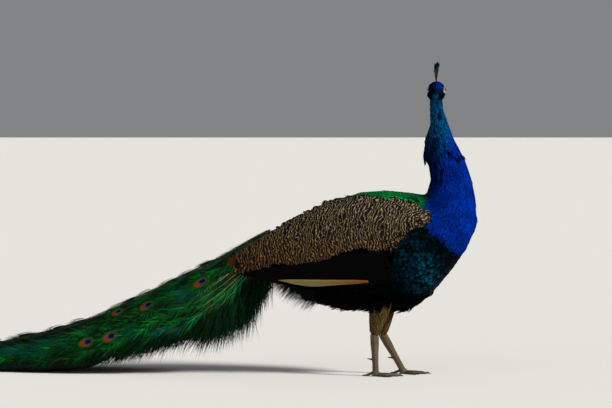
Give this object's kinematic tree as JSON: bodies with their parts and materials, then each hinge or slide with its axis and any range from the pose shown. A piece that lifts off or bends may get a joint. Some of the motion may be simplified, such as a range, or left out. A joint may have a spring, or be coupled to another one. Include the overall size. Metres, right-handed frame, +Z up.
{
  "type": "peacock",
  "caption": "Life-size standing peacock with a raised neck, its head turned to its left, folded wings and a long train trailing on the floor.",
  "frame": {"origin": "on the floor, under the middle of the box that holds the bird", "axes": "+X the way the body faces, from the train's tip to the breast; +Y the bird's left; +Z up"},
  "size_m": [1.738, 0.3048, 0.993],
  "materials": {
    "blue_plumage": "iridescent cobalt feathers of head, neck and breast",
    "crest": "bare shafts with blue-green tips",
    "green_plumage": "bronze-green scaly feathers of back and rump",
    "barred_plumage": "buff feathers with wavy black bars",
    "black_plumage": "black feathers with a dark green or blue gloss",
    "rufous_plumage": "rufous to pale buff flight feathers",
    "buff_plumage": "short buff-brown down of the thighs",
    "train": "metallic green loose-barbed feathers with eyes of bronze, turquoise and dark blue",
    "tail": "dull dark brown stiff feathers",
    "bare_skin": "bare whitish skin above and below the eye",
    "leg_skin": "grey-brown horny scales",
    "horn": "horn-coloured bill, claws and spurs",
    "eye": "wet dark brown iris with a black pupil"
  },
  "bodies": {
    "root": {"head": "blue_plumage", "neck_upper": "blue_plumage", "neck_middle": "blue_plumage", "neck_lower": "blue_plumage", "breast": "blue_plumage", "crest": "crest", "back": "green_plumage", "rump": "green_plumage", "belly": "black_plumage", "wing_coverts_left": "barred_plumage", "wing_coverts_right": "barred_plumage", "secondaries_left": "black_plumage", "secondaries_right": "black_plumage", "primaries_left": "rufous_plumage", "primaries_right": "rufous_plumage", "train_root": "train", "train_middle": "train", "train_rear": "train", "train_end": "train", "tail": "tail", "thigh_left": "buff_plumage", "thigh_right": "buff_plumage", "shank_left": "leg_skin", "shank_right": "leg_skin", "foot_left": "leg_skin", "foot_right": "leg_skin", "spur_left": "horn", "spur_right": "horn", "claw_inner_left": "horn", "claw_middle_left": "horn", "claw_outer_left": "horn", "claw_hind_left": "horn", "claw_inner_right": "horn", "claw_middle_right": "horn", "claw_outer_right": "horn", "claw_hind_right": "horn", "bill_upper": "horn", "bill_lower": "horn", "eye_left": "eye", "eye_right": "eye"}
  },
  "joints": []
}
